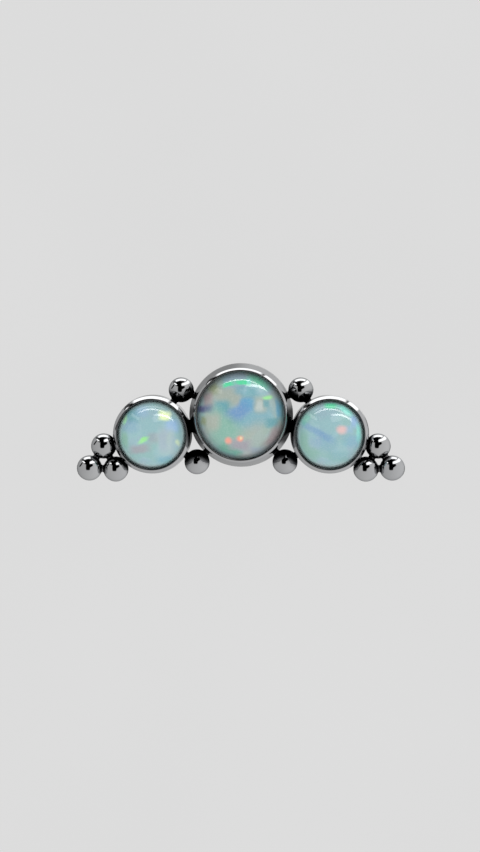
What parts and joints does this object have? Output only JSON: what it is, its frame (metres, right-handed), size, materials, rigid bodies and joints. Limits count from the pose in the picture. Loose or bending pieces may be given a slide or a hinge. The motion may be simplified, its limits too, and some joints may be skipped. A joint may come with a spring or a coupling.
{
  "type": "labret stud",
  "caption": "Flat-back labret stud whose post carries a soldered cluster of bezel-set opals flanked by round metal beads.",
  "frame": {"origin": "middle of the underside of the disc back, on the axis of the post", "axes": "+Z along the post towards the face of the cluster, +X along the cluster's width, +Y towards the top of the cluster"},
  "size_m": [0.016, 0.0057, 0.0097],
  "materials": {
    "polished_metal": "mirror-polished titanium",
    "opal": "polished white opal with a play of colour"
  },
  "bodies": {
    "root": {"setting": "polished_metal", "centre_opal": "opal", "left_opal": "opal", "right_opal": "opal", "post": "polished_metal"}
  },
  "joints": []
}
